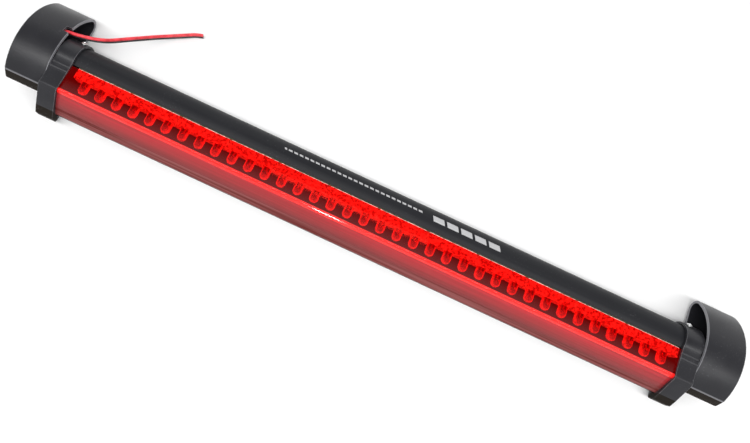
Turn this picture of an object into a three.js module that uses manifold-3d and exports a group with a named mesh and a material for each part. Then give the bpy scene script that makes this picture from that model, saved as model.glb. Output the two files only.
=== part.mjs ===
// Add-on third brake light: a black housing with a red clear lens, a row of LEDs,
// a collar on each end and a hollow half-round bracket that turns outside each collar.
// Millimetres. +X runs along the lamp, +Z out of the window, +Y towards the round back.
// The adhesive pads under the brackets lie on z = 0.

import * as THREE from 'three';
import { mergeVertices } from 'three/addons/utils/BufferGeometryUtils.js';
import Module from 'manifold-3d';

const wasm = await Module();
wasm.setup();

// Driving dimensions
const HALF_LENGTH = 205;
const RIM_X = 183.2;
const CAP_OUTER_X = 182.9;
const CAP_FACE_X = 180.9;
const CAP_INNER_X = 173.1;
const HOUSING_END_X = 178.6;
const GAP = 0.3;

const AXIS_Y = 1.05;
const AXIS_Z = 11.4;
const TUBE_RADIUS = 9.6;
const WALL = 1.5;
const CAP_RADIUS = 11.2;
const CAVITY_RADIUS = TUBE_RADIUS + 0.32;
const WINDOW_ANGLE = THREE.MathUtils.degToRad(116);

const BRACKET_CENTRE_Y = 2.1;
const BRACKET_CENTRE_Z = -7.7;
const BRACKET_RADIUS = 31.7;
const BRACKET_WALL = 1.4;
const BRACKET_BASE_Z = 2;
const BRACKET_FRONT_TOP_Y = -18.95;
const BRACKET_CHIN_Y = -21.7;
const BRACKET_CHIN_Z = 11;
const BRACKET_FRONT_FOOT_Y = -18.6;
const BRACKET_CORNER = 3.6;
const BRACKET_END_ROUND = 2.4;
const NOTCH_Y = 12.4;
const NOTCH_WIDTH = 3.6;
const NOTCH_DEPTH = 3.2;

const HUB_RADIUS = 3.6;
const HUB_BORE_RADIUS = 1.8;
const HUB_START_X = 184.5;
const HUB_BORE_END_X = 196;
const SHANK_RADIUS = 1.5;
const SHANK_END_X = 194;
const HEAD_RADIUS = 3.2;
const WASHER_RADIUS = 3.4;

const GROMMET_Y = 1.55;
const GROMMET_Z = 17.975;
const GROMMET_BORE = 1.95;
const GROMMET_BODY = 2.5;
const GROMMET_LIP = 3.0;

const LED_COUNT = 36;
const LED_PITCH = 9.45;
const LED_ROW_CENTRE_X = 1.4;
const LEDS_PER_GROUP = 3;
const LED_BASE_Y = -6.55;
const LED_Z = 14.9;
const LED_RADIUS = 2.5;
const LED_FLANGE_RADIUS = 2.75;
const LED_FLANGE_LENGTH = 1;
const LED_LENGTH = 8.7;
const POCKET_RADIUS = 2.95;

const CAP_SCREW_X = 175.6;
const CAP_SCREW_ANGLE = THREE.MathUtils.degToRad(35);
const CAP_SCREW_HOLE = 1.15;

const CORE_RADIUS = 0.8;
const CORE_SPACING = 1.85;

// Route of the upper core, from the grommet through the notch in the left bracket's rim
// and down to the surface that the lamp lies on.
const LEAD_ROUTE = [
  [-184.4, 1.55, 18.9],
  [-186, 1.65, 18.9],
  [-187.6, 2.2, 18.95],
  [-189.7, 4.2, 19.05],
  [-190.3, 6.9, 19.2],
  [-189.5, 9.5, 19.35],
  [-187.4, 11.4, 19.5],
  [-184.6, 12.25, 19.9],
  [-181.3, 12.4, 20.2],
  [-177.8, 13.1, 20.1],
  [-174.1, 14.3, 19.4],
  [-170.4, 16.1, 18.1],
  [-166.9, 18.6, 16.5],
  [-163.6, 21.8, 14.7],
  [-160.3, 25.5, 12.6],
  [-155.4, 30.9, 9.5],
  [-150.3, 36.2, 6.7],
  [-145.5, 40.6, 4.6],
  [-140.9, 44.3, 3.3],
  [-136.4, 47.4, 2.8],
  [-132.8, 49.5, 2.75],
  [-129.2, 50.8, 2.75],
];

const SIDES = [['left', -1], ['right', 1]];

// Materials
function plastic(colour, roughness) {
  return new THREE.MeshStandardMaterial({ color: colour, roughness, metalness: 0 });
}

function metal(colour, roughness) {
  return new THREE.MeshStandardMaterial({ color: colour, roughness, metalness: 1 });
}

const BLACK_PLASTIC = plastic(0x3a3a3e, 0.45);
const RED_LENS = plastic(0xe0201c, 0.15);
const LED_RESIN = plastic(0xd02018, 0.2);
const WHITE_PLASTIC = plastic(0xd8d4cc, 0.5);
const BOARD_LAMINATE = plastic(0x2f4a30, 0.6);
const FOAM = plastic(0x1c1a19, 0.9);
const RUBBER = plastic(0x202022, 0.8);
const STEEL = metal(0xb9bcc0, 0.35);
const NYLON = plastic(0xcfcabd, 0.5);
const RED_PVC = plastic(0xd2262e, 0.4);
const BLACK_PVC = plastic(0x18181a, 0.4);

// Tools for closed solids
function toSolid(geometry) {
  const bare = geometry.clone();
  bare.deleteAttribute('normal');
  bare.deleteAttribute('uv');
  const merged = mergeVertices(bare);
  return new wasm.Manifold(new wasm.Mesh({
    numProp: 3,
    vertProperties: new Float32Array(merged.attributes.position.array),
    triVerts: new Uint32Array(merged.index.array),
  }));
}

function toGeometry(solid) {
  const mesh = solid.getMesh();
  const geometry = new THREE.BufferGeometry();
  geometry.setAttribute('position', new THREE.BufferAttribute(mesh.vertProperties, 3));
  geometry.setIndex(new THREE.BufferAttribute(mesh.triVerts, 1));
  return geometry;
}

function named(name, geometry, material) {
  const mesh = new THREE.Mesh(geometry, material);
  mesh.name = name;
  return mesh;
}

// A section drawn in the YZ plane, extruded along X between two planes.
function alongX(shape, xA, xB, curveSegments = 12) {
  const start = Math.min(xA, xB);
  const depth = Math.abs(xB - xA);
  const geometry = new THREE.ExtrudeGeometry(shape, { depth, curveSegments, bevelEnabled: false });
  const turn = new THREE.Matrix4().makeBasis(
    new THREE.Vector3(0, 1, 0),
    new THREE.Vector3(0, 0, 1),
    new THREE.Vector3(1, 0, 0),
  );
  geometry.applyMatrix4(turn);
  geometry.translate(start, 0, 0);
  return geometry;
}

function polygon(points) {
  return new THREE.Shape(points.map(([y, z]) => new THREE.Vector2(y, z)));
}

// An outline's points, without those that coincide.
function outlinePoints(shape, divisions) {
  const points = shape.getPoints(divisions);
  return points.filter((point, index) => {
    const next = points[(index + 1) % points.length];
    return point.distanceTo(next) > 0.01;
  });
}

// A closed skin over a row of outlines with equally many points, each in its own X plane.
function skinned(rings) {
  const count = rings[0].points.length;
  const positions = rings.flatMap(({ x, points }) => points.flatMap((point) => [x, point.x, point.y]));
  const forward = rings[rings.length - 1].x > rings[0].x;
  const indices = [];
  const addFace = (a, b, c) => indices.push(...(forward ? [a, b, c] : [a, c, b]));
  for (let ring = 0; ring < rings.length - 1; ring += 1) {
    for (let index = 0; index < count; index += 1) {
      const next = (index + 1) % count;
      const low = ring * count;
      const high = low + count;
      addFace(low + index, low + next, high + next);
      addFace(low + index, high + next, high + index);
    }
  }
  const last = (rings.length - 1) * count;
  for (const [a, b, c] of THREE.ShapeUtils.triangulateShape(rings[0].points, [])) {
    addFace(a, c, b);
    addFace(last + a, last + b, last + c);
  }
  const geometry = new THREE.BufferGeometry();
  geometry.setAttribute('position', new THREE.Float32BufferAttribute(positions, 3));
  geometry.setIndex(indices);
  return geometry;
}

function box(x0, x1, y0, y1, z0, z1) {
  const geometry = new THREE.BoxGeometry(Math.abs(x1 - x0), y1 - y0, z1 - z0);
  geometry.translate((x0 + x1) / 2, (y0 + y1) / 2, (z0 + z1) / 2);
  return geometry;
}

// A turned piece: profile points are [radius, distance along the axis].
function turned(profile, segments) {
  return new THREE.LatheGeometry(profile.map(([r, h]) => new THREE.Vector2(r, h)), segments);
}

// Stands a turned piece's axis along X, pointing outwards on its side.
function outwards(geometry, side, y, z) {
  geometry.rotateZ(side > 0 ? -Math.PI / 2 : Math.PI / 2);
  geometry.translate(0, y, z);
  return geometry;
}

function rodAlongX(xA, xB, radius, y, z, segments = 20) {
  const geometry = new THREE.CylinderGeometry(radius, radius, Math.abs(xB - xA), segments);
  geometry.rotateZ(Math.PI / 2);
  geometry.translate((xA + xB) / 2, y, z);
  return geometry;
}

// Point on the tube's cross-section at an angle from +Y towards +Z.
function onTube(radius, angle) {
  return [AXIS_Y + radius * Math.cos(angle), AXIS_Z + radius * Math.sin(angle)];
}

// Housing: a channel, round at the back, open at the window and along the front.
function housingGeometry() {
  const footAngle = THREE.MathUtils.degToRad(-97);
  const inner = TUBE_RADIUS - WALL;
  const shape = new THREE.Shape();
  shape.moveTo(-27.7, 5.4);
  shape.lineTo(...onTube(TUBE_RADIUS, footAngle));
  shape.absarc(AXIS_Y, AXIS_Z, TUBE_RADIUS, footAngle, WINDOW_ANGLE, false);
  shape.lineTo(...onTube(inner, WINDOW_ANGLE));
  shape.absarc(AXIS_Y, AXIS_Z, inner, WINDOW_ANGLE, footAngle, true);
  shape.lineTo(-25.1, 6.6);
  shape.lineTo(-25.1, 8.4);
  shape.lineTo(-26.1, 8.4);
  shape.lineTo(-26.1, 6.9);
  shape.lineTo(-27.7, 6.9);
  shape.closePath();
  let solid = toSolid(alongX(shape, -HOUSING_END_X, HOUSING_END_X, 20));
  for (const [, side] of SIDES) {
    solid = solid.subtract(toSolid(capScrewHole(side)));
  }
  return toGeometry(solid);
}

// Lens: flat window, raised ridge, sloping lower face and a bottom lip over the housing.
function lensGeometry() {
  const outer = [[-3.8, 19.7], [-17.35, 20], [-18.2, 20.3], [-19, 19.7], [-19.7, 18.5],
    [-25.55, 12], [-27.95, 8.2], [-27.85, 7.2]];
  const inner = [[-26.45, 7.2], [-26.45, 8.5], [-24.3, 12.5], [-18.4, 18.2], [-17.4, 18.6],
    [-3.5, 18.35]];
  return alongX(polygon([...outer, ...inner]), -HOUSING_END_X, HOUSING_END_X);
}

// Outline of the end caps, and of the cavity that takes the housing and the lens.
function capOutline() {
  const footAngle = THREE.MathUtils.degToRad(-96);
  const shape = new THREE.Shape();
  shape.moveTo(-30.4, 3.4);
  shape.lineTo(...onTube(CAP_RADIUS, footAngle));
  shape.absarc(AXIS_Y, AXIS_Z, CAP_RADIUS, footAngle, THREE.MathUtils.degToRad(112), false);
  shape.lineTo(-7.4, 21.6);
  shape.lineTo(-17.6, 21.3);
  shape.lineTo(-18.75, 21.6);
  shape.lineTo(-20, 20.9);
  shape.lineTo(-28.3, 12);
  shape.lineTo(-31.35, 8.2);
  shape.lineTo(-31.1, 4.2);
  shape.closePath();
  return shape;
}

function cavityOutline() {
  const footAngle = THREE.MathUtils.degToRad(-97);
  const shape = new THREE.Shape();
  shape.moveTo(-28.05, 5);
  shape.lineTo(...onTube(CAVITY_RADIUS, footAngle));
  shape.absarc(AXIS_Y, AXIS_Z, CAVITY_RADIUS, footAngle, WINDOW_ANGLE, false);
  shape.lineTo(-17.25, 20.35);
  shape.lineTo(-18.25, 20.65);
  shape.lineTo(-19.3, 19.9);
  shape.lineTo(-20, 18.7);
  shape.lineTo(-25.85, 12.15);
  shape.lineTo(-28.3, 8.3);
  shape.closePath();
  return shape;
}

function endCapGeometry(side) {
  let solid = toSolid(alongX(capOutline(), side * CAP_INNER_X, side * CAP_OUTER_X, 20));
  const cavity = alongX(cavityOutline(), side * (CAP_INNER_X - 1), side * CAP_FACE_X, 20);
  solid = solid.subtract(toSolid(cavity));
  const pivotHole = rodAlongX(side * (CAP_FACE_X - 1), side * (CAP_OUTER_X + 1),
    HUB_BORE_RADIUS, AXIS_Y, AXIS_Z);
  solid = solid.subtract(toSolid(pivotHole));
  solid = solid.subtract(toSolid(capScrewHole(side)));
  if (side < 0) {
    const leadHole = rodAlongX(side * (CAP_FACE_X - 1), side * (CAP_OUTER_X + 1),
      GROMMET_BODY + GAP, GROMMET_Y, GROMMET_Z);
    solid = solid.subtract(toSolid(leadHole));
  }
  return toGeometry(solid);
}

// Foam seal between the housing's end and the cap, cut round the pivot screw's head.
function endSealGeometry(side) {
  const xNear = side * (HOUSING_END_X + GAP);
  const xFar = side * (CAP_FACE_X - GAP);
  const shape = new THREE.Shape();
  const footAngle = THREE.MathUtils.degToRad(-97);
  const radius = TUBE_RADIUS - 0.2;
  shape.moveTo(-27.4, 5.8);
  shape.lineTo(...onTube(radius, footAngle));
  shape.absarc(AXIS_Y, AXIS_Z, radius, footAngle, WINDOW_ANGLE, false);
  shape.lineTo(-17.3, 19.6);
  shape.lineTo(-19.3, 18.3);
  shape.lineTo(-25.2, 11.8);
  shape.lineTo(-27.5, 8.2);
  shape.closePath();
  let solid = toSolid(alongX(shape, xNear, xFar, 16));
  const headHole = rodAlongX(xNear - side, xFar + side, HEAD_RADIUS + GAP, AXIS_Y, AXIS_Z);
  solid = solid.subtract(toSolid(headHole));
  if (side < 0) {
    const leadHole = rodAlongX(xNear - side, xFar + side, GROMMET_BODY, GROMMET_Y, GROMMET_Z);
    solid = solid.subtract(toSolid(leadHole));
  }
  return toGeometry(solid);
}

// Cap screw: a small pan head on the back of the collar, its shank in the housing wall.
function aimCapScrew(geometry, side) {
  geometry.rotateX(CAP_SCREW_ANGLE);
  geometry.translate(side * CAP_SCREW_X, AXIS_Y, AXIS_Z);
  return geometry;
}

function capScrewHole(side) {
  const hole = new THREE.CylinderGeometry(CAP_SCREW_HOLE, CAP_SCREW_HOLE, 8, 16);
  hole.translate(0, 9.5, 0);
  return aimCapScrew(hole, side);
}

function capScrewGeometry(side) {
  const profile = [[0, 7], [0.85, 7], [0.85, 11.5], [1.5, 11.5], [1.5, 11.9], [1.1, 12.25], [0, 12.35]];
  return aimCapScrew(turned(profile, 16), side);
}

// Bracket outline, drawn a wall's thickness inwards for the hollow.
function bracketOutline(inset) {
  const radius = BRACKET_RADIUS - inset;
  const base = BRACKET_BASE_Z + inset;
  const corner = BRACKET_CORNER - inset / 2;
  const cornerZ = base + corner;
  const height = cornerZ - BRACKET_CENTRE_Z;
  const backAngle = Math.asin(height / radius);
  const cornerY = BRACKET_CENTRE_Y + Math.sqrt(radius ** 2 - (base - BRACKET_CENTRE_Z) ** 2) + 0.25;
  const frontY = BRACKET_FRONT_TOP_Y + inset;
  const frontAngle = Math.acos((frontY - BRACKET_CENTRE_Y) / radius);
  const shape = new THREE.Shape();
  shape.moveTo(BRACKET_FRONT_FOOT_Y + inset, base);
  shape.lineTo(cornerY - corner, base);
  shape.quadraticCurveTo(
    cornerY,
    base,
    BRACKET_CENTRE_Y + radius * Math.cos(backAngle),
    cornerZ,
  );
  shape.absarc(BRACKET_CENTRE_Y, BRACKET_CENTRE_Z, radius, backAngle, frontAngle, false);
  shape.lineTo(BRACKET_CHIN_Y + inset, BRACKET_CHIN_Z);
  shape.closePath();
  return outlinePoints(shape, 10);
}

// The shell's outer skin, with its closed end rounded over in steps.
function bracketSkin(side) {
  const rings = [{ x: side * RIM_X, points: bracketOutline(0) }];
  const steps = 4;
  for (let step = 0; step <= steps; step += 1) {
    const angle = (step / steps) * Math.PI / 2;
    const x = HALF_LENGTH - BRACKET_END_ROUND * (1 - Math.sin(angle));
    rings.push({ x: side * x, points: bracketOutline(BRACKET_END_ROUND * (1 - Math.cos(angle))) });
  }
  return skinned(rings);
}

function bracketHollow(side) {
  const points = bracketOutline(BRACKET_WALL);
  const xStart = side * (RIM_X - 1);
  const xEnd = side * (HALF_LENGTH - BRACKET_WALL);
  return skinned([{ x: xStart, points }, { x: xEnd, points }]);
}

function bracketGeometry(side) {
  const hub = rodAlongX(side * HUB_START_X, side * (HALF_LENGTH - BRACKET_WALL / 2),
    HUB_RADIUS, AXIS_Y, AXIS_Z);
  const bore = rodAlongX(side * (HUB_START_X - 1), side * HUB_BORE_END_X,
    HUB_BORE_RADIUS, AXIS_Y, AXIS_Z);
  let solid = toSolid(bracketSkin(side)).subtract(toSolid(bracketHollow(side)));
  solid = solid.add(toSolid(hub)).subtract(toSolid(bore));
  if (side < 0) {
    const notch = box(side * (RIM_X - 1), side * (RIM_X + NOTCH_DEPTH),
      NOTCH_Y - NOTCH_WIDTH / 2, NOTCH_Y + NOTCH_WIDTH / 2, 16, 30);
    solid = solid.subtract(toSolid(notch));
  }
  return toGeometry(solid);
}

function padGeometry(side) {
  return box(side * (RIM_X + 1.6), side * (HALF_LENGTH - 2.6), -17, 26, 0, BRACKET_BASE_Z - 0.25);
}

// Pivot screw: its head sits inside the cap, its shank runs into the bracket's hub.
function pivotScrewGeometry(side) {
  const headStart = HOUSING_END_X + GAP;
  const headEnd = CAP_FACE_X - GAP;
  const profile = [[0, headStart], [HEAD_RADIUS, headStart], [HEAD_RADIUS, headEnd],
    [SHANK_RADIUS, headEnd], [SHANK_RADIUS, SHANK_END_X - 1], [0, SHANK_END_X]];
  return outwards(turned(profile, 20), side, AXIS_Y, AXIS_Z);
}

function pivotWasherGeometry(side) {
  const start = CAP_OUTER_X + GAP;
  const end = HUB_START_X - GAP;
  const profile = [[HUB_BORE_RADIUS, start], [WASHER_RADIUS, start], [WASHER_RADIUS, end],
    [HUB_BORE_RADIUS, end], [HUB_BORE_RADIUS, start]];
  return outwards(turned(profile, 20), side, AXIS_Y, AXIS_Z);
}

function grommetGeometry() {
  const start = CAP_FACE_X - GAP;
  const lipStart = CAP_OUTER_X + GAP;
  const lipEnd = lipStart + 0.9;
  const profile = [[GROMMET_BORE, start], [GROMMET_BODY, start], [GROMMET_BODY, lipStart],
    [GROMMET_LIP, lipStart], [GROMMET_LIP, lipEnd], [GROMMET_BORE, lipEnd], [GROMMET_BORE, start]];
  return outwards(turned(profile, 20), -1, GROMMET_Y, GROMMET_Z);
}

// LED: flange, straight body and dome, lying with the dome towards -Y.
function ledGeometry(x) {
  const straight = LED_LENGTH - LED_RADIUS;
  const profile = [[0, 0], [LED_FLANGE_RADIUS, 0], [LED_FLANGE_RADIUS, LED_FLANGE_LENGTH],
    [LED_RADIUS, LED_FLANGE_LENGTH]];
  const domeSteps = 3;
  for (let step = 0; step < domeSteps; step += 1) {
    const angle = (step / domeSteps) * Math.PI / 2;
    profile.push([LED_RADIUS * Math.cos(angle), straight + LED_RADIUS * Math.sin(angle)]);
  }
  profile.push([0, LED_LENGTH]);
  const geometry = turned(profile, 8);
  geometry.rotateX(Math.PI);
  geometry.translate(x, LED_BASE_Y, LED_Z);
  return geometry;
}

function ledX(index) {
  return LED_ROW_CENTRE_X + (index - (LED_COUNT - 1) / 2) * LED_PITCH;
}

// Holder: a bar with one pocket for each LED and a notch between each group of three.
function ledHolderGeometry() {
  const front = -8.65;
  const top = 18;
  const notchFloor = 15.2;
  const notchHalf = 0.9;
  const endMargin = 6.6;
  const back = -3.05;
  let solid = toSolid(box(ledX(0) - endMargin, ledX(LED_COUNT - 1) + endMargin, front, back, 11.6, top));
  for (let index = 0; index < LED_COUNT; index += 1) {
    const pocket = new THREE.CylinderGeometry(POCKET_RADIUS, POCKET_RADIUS, 6, 10);
    pocket.translate(ledX(index), LED_BASE_Y + GAP - 3, LED_Z);
    solid = solid.subtract(toSolid(pocket));
    const groupEnd = (index + 1) % LEDS_PER_GROUP === 0 && index + 1 < LED_COUNT;
    if (groupEnd) {
      const middle = ledX(index) + LED_PITCH / 2;
      const notch = box(middle - notchHalf, middle + notchHalf, front - 1, back + 1, notchFloor, top + 1);
      solid = solid.subtract(toSolid(notch));
    }
  }
  return toGeometry(solid);
}

function ledBoardGeometry() {
  return box(ledX(0) - 7, ledX(LED_COUNT - 1) + 7, -2.75, -1.15, 8, 17.9);
}

// One core of the lead: a tube of eight sides along its route.
function coreGeometry(drop) {
  const points = LEAD_ROUTE.map(([x, y, z]) => new THREE.Vector3(x, y, z - drop));
  const path = new THREE.CatmullRomCurve3(points, false, 'centripetal');
  const section = new THREE.Shape();
  const corners = 8;
  for (let corner = 0; corner < corners; corner += 1) {
    const angle = (corner + 0.5) * 2 * Math.PI / corners;
    const x = CORE_RADIUS * Math.cos(angle);
    const y = CORE_RADIUS * Math.sin(angle);
    if (corner === 0) section.moveTo(x, y);
    else section.lineTo(x, y);
  }
  section.closePath();
  return new THREE.ExtrudeGeometry(section, { steps: 40, bevelEnabled: false, extrudePath: path });
}

// Assembly
const lamp = new THREE.Group();
lamp.add(named('housing', housingGeometry(), BLACK_PLASTIC));
lamp.add(named('lens', lensGeometry(), RED_LENS));
lamp.add(named('led_board', ledBoardGeometry(), BOARD_LAMINATE));
lamp.add(named('led_holder', ledHolderGeometry(), WHITE_PLASTIC));
for (let index = 0; index < LED_COUNT; index += 1) {
  const label = String(index + 1).padStart(2, '0');
  lamp.add(named(`led_${label}`, ledGeometry(ledX(index)), LED_RESIN));
}
for (const [word, side] of SIDES) {
  lamp.add(named(`${word}_end_cap`, endCapGeometry(side), BLACK_PLASTIC));
  lamp.add(named(`${word}_end_seal`, endSealGeometry(side), FOAM));
  lamp.add(named(`${word}_cap_screw`, capScrewGeometry(side), STEEL));
  lamp.add(named(`${word}_bracket_shell`, bracketGeometry(side), BLACK_PLASTIC));
  lamp.add(named(`${word}_pad`, padGeometry(side), FOAM));
  lamp.add(named(`${word}_pivot_screw`, pivotScrewGeometry(side), STEEL));
  lamp.add(named(`${word}_pivot_washer`, pivotWasherGeometry(side), NYLON));
}
lamp.add(named('lead_grommet', grommetGeometry(), RUBBER));
lamp.add(named('lead_red', coreGeometry(0), RED_PVC));
lamp.add(named('lead_black', coreGeometry(CORE_SPACING), BLACK_PVC));

export default lamp;
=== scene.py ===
import math

import bmesh
import bpy
from mathutils import Matrix, Vector


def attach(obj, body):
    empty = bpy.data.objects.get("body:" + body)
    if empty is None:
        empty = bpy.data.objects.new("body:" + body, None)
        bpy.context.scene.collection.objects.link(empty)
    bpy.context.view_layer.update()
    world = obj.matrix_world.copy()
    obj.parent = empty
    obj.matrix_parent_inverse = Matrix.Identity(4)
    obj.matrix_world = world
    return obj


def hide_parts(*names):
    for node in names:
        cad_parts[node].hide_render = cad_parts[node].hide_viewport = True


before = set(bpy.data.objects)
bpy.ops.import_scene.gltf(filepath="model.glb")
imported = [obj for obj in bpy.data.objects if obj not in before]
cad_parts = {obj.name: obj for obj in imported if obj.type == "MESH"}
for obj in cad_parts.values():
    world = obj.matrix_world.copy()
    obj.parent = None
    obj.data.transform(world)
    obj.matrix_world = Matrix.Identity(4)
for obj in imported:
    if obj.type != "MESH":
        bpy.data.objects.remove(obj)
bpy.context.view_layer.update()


# Camera. It looks down on the window from the lens side, and is turned so that the lamp
# lies across the picture from the upper left to the lower right.
CAMERA_PLACE = Vector((-0.01795, -0.0950, 0.3128))
CAMERA_LEAN = math.radians(16)
CAMERA_TURN = math.radians(24.95)
CAMERA_LENS = 28.5
CAMERA_SHIFT = (0.047, -0.022)

lean_cos, lean_sin = math.cos(CAMERA_LEAN), math.sin(CAMERA_LEAN)
turn_cos, turn_sin = math.cos(CAMERA_TURN), math.sin(CAMERA_TURN)
camera_right = Vector((turn_cos, lean_cos * turn_sin, lean_sin * turn_sin))
camera_up = Vector((-turn_sin, lean_cos * turn_cos, lean_sin * turn_cos))
camera_back = Vector((0, -lean_sin, lean_cos))
camera_data = bpy.data.cameras.new("camera")
camera_data.lens = CAMERA_LENS
camera_data.shift_x, camera_data.shift_y = CAMERA_SHIFT
camera_data.clip_start = 0.01
camera = bpy.data.objects.new("camera", camera_data)
bpy.context.scene.collection.objects.link(camera)
axes = Matrix((camera_right, camera_up, camera_back)).transposed().to_4x4()
camera.matrix_world = Matrix.Translation(CAMERA_PLACE) @ axes
bpy.context.scene.camera = camera


# Lead. Two cores in soft PVC, red above black, joined side by side. They leave the grommet in
# the left end cap, pass the notch in the bracket's rim, and lie on the table, cut off bare.
CORE_DIAMETER = 0.0017
CORE_DROP = {"red": 0, "black": 0.00185}
CORE_COLOUR = {"red": (0.85, 0.03, 0.045), "black": (0.012, 0.012, 0.014)}
LEAD_ROUTE = [
    (-0.1844, 0.00155, 0.0189), (-0.186, 0.00165, 0.0189), (-0.1876, 0.0022, 0.01895),
    (-0.1897, 0.0042, 0.01905), (-0.1903, 0.0069, 0.0192), (-0.1895, 0.0095, 0.01935),
    (-0.1874, 0.0114, 0.0195), (-0.1846, 0.01225, 0.0199), (-0.1813, 0.0124, 0.0202),
    (-0.1778, 0.0131, 0.0201), (-0.1741, 0.0143, 0.0194), (-0.1704, 0.0161, 0.0181),
    (-0.1669, 0.0186, 0.0165), (-0.1636, 0.0218, 0.0147), (-0.1603, 0.0255, 0.0126),
    (-0.1554, 0.0309, 0.0095), (-0.1503, 0.0362, 0.0067), (-0.1455, 0.0406, 0.0046),
    (-0.1409, 0.0443, 0.0033), (-0.1364, 0.0474, 0.0028), (-0.1328, 0.0495, 0.00275),
    (-0.1292, 0.0508, 0.00275),
]


def new_material(name, colour, roughness):
    """A material with a Principled shader, its node tree, and the piece's own coordinates."""
    material = bpy.data.materials.new(name)
    material.use_nodes = True
    tree = material.node_tree
    shader = tree.nodes["Principled BSDF"]
    shader.inputs["Base Color"].default_value = (*colour, 1)
    shader.inputs["Roughness"].default_value = roughness
    place = tree.nodes.new("ShaderNodeTexCoord").outputs["Object"]
    return material, tree, shader, place


def new_group(name, inputs, outputs):
    """An empty shader node group, with its sockets and their usual values."""
    group = bpy.data.node_groups.new(name, "ShaderNodeTree")
    for label, kind, value in inputs:
        socket = group.interface.new_socket(label, in_out="INPUT", socket_type=kind)
        if value is not None:
            socket.default_value = value
    for label in outputs:
        group.interface.new_socket(label, in_out="OUTPUT", socket_type="NodeSocketFloat")
    return group, group.nodes.new("NodeGroupInput"), group.nodes.new("NodeGroupOutput")


def calculate(tree, operation, first, second=0, clamp=False):
    """A Math node on one or two sockets or numbers."""
    node = tree.nodes.new("ShaderNodeMath")
    node.operation = operation
    node.use_clamp = clamp
    for slot, value in zip(node.inputs, (first, second)):
        if isinstance(value, (int, float)):
            slot.default_value = value
        else:
            tree.links.new(value, slot)
    return node.outputs[0]


def noise(tree, place, scale, detail=2.0, roughness=0.5):
    node = tree.nodes.new("ShaderNodeTexNoise")
    tree.links.new(place, node.inputs["Vector"])
    node.inputs["Detail"].default_value = detail
    node.inputs["Roughness"].default_value = roughness
    if isinstance(scale, (int, float)):
        node.inputs["Scale"].default_value = scale
    else:
        tree.links.new(scale, node.inputs["Scale"])
    return node.outputs["Fac"]


def make_cloudy():
    """Slow changes of tone over a moulding, and its fine pits."""
    group, given, result = new_group(
        "moulded_surface",
        [("Vector", "NodeSocketVector", None), ("Cloud Scale", "NodeSocketFloat", 60.0),
         ("Grain Scale", "NodeSocketFloat", 2500.0)],
        ["Clouds", "Grain"])
    clouds = noise(group, given.outputs["Vector"], given.outputs["Cloud Scale"], 3)
    grain = noise(group, given.outputs["Vector"], given.outputs["Grain Scale"], 2, 0.6)
    group.links.new(clouds, result.inputs["Clouds"])
    group.links.new(grain, result.inputs["Grain"])
    return group


moulded_surface = make_cloudy()


def use_group(tree, group, place=None, **values):
    node = tree.nodes.new("ShaderNodeGroup")
    node.node_tree = group
    if place is not None:
        tree.links.new(place, node.inputs["Vector"])
    for label, value in values.items():
        node.inputs[label.replace("_", " ")].default_value = value
    return node.outputs


def blend_colour(tree, amount, low, high):
    """Goes from one colour to another with a mask. A colour may be another node's."""
    node = tree.nodes.new("ShaderNodeMix")
    node.data_type = "RGBA"
    tree.links.new(amount, node.inputs["Factor"])
    for label, value in (("A", low), ("B", high)):
        socket = next(s for s in node.inputs if s.name == label and s.type == "RGBA")
        if isinstance(value, tuple):
            socket.default_value = (*value, 1)
        else:
            tree.links.new(value, socket)
    return next(s for s in node.outputs if s.type == "RGBA")


def spread(tree, value, low, high, to_low, to_high):
    node = tree.nodes.new("ShaderNodeMapRange")
    tree.links.new(value, node.inputs["Value"])
    numbers = {"From Min": low, "From Max": high, "To Min": to_low, "To Max": to_high}
    for label, number in numbers.items():
        node.inputs[label].default_value = number
    return node.outputs["Result"]


def raise_surface(tree, shader, height, strength, distance):
    node = tree.nodes.new("ShaderNodeBump")
    node.inputs["Strength"].default_value = strength
    node.inputs["Distance"].default_value = distance
    tree.links.new(height, node.inputs["Height"])
    tree.links.new(node.outputs["Normal"], shader.inputs["Normal"])


def insulation(colour_name):
    colour = CORE_COLOUR[colour_name]
    material, tree, shader, place = new_material(f"{colour_name}_insulation", colour, 0.35)
    surface = use_group(tree, moulded_surface, place, Cloud_Scale=260.0, Grain_Scale=3000.0)
    pale = tuple(min(1, part * 1.5 + 0.02) for part in colour)
    dark = tuple(part * 0.7 for part in colour)
    scuffed = blend_colour(tree, spread(tree, surface["Clouds"], 0.35, 0.7, 0, 1), dark, pale)
    tree.links.new(scuffed, shader.inputs["Base Color"])
    roughness = spread(tree, surface["Clouds"], 0.3, 0.7, 0.28, 0.45)
    tree.links.new(roughness, shader.inputs["Roughness"])
    raise_surface(tree, shader, surface["Grain"], 0.15, 0.0001)
    return material


for colour_name, drop in CORE_DROP.items():
    core_curve = bpy.data.curves.new(f"core_{colour_name}", "CURVE")
    core_curve.dimensions = "3D"
    core_curve.bevel_depth = CORE_DIAMETER / 2
    core_curve.bevel_resolution = 4
    core_curve.resolution_u = 6
    core_curve.use_fill_caps = True
    spline = core_curve.splines.new("BEZIER")
    spline.bezier_points.add(len(LEAD_ROUTE) - 1)
    for knot, (x, y, z) in zip(spline.bezier_points, LEAD_ROUTE):
        knot.co = (x, y, z - drop)
        knot.handle_left_type = knot.handle_right_type = "AUTO"
    core_curve.materials.append(insulation(colour_name))
    core = bpy.data.objects.new(f"core_{colour_name}", core_curve)
    bpy.context.scene.collection.objects.link(core)
    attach(core, "left_bracket")
    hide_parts(f"lead_{colour_name}")


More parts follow.
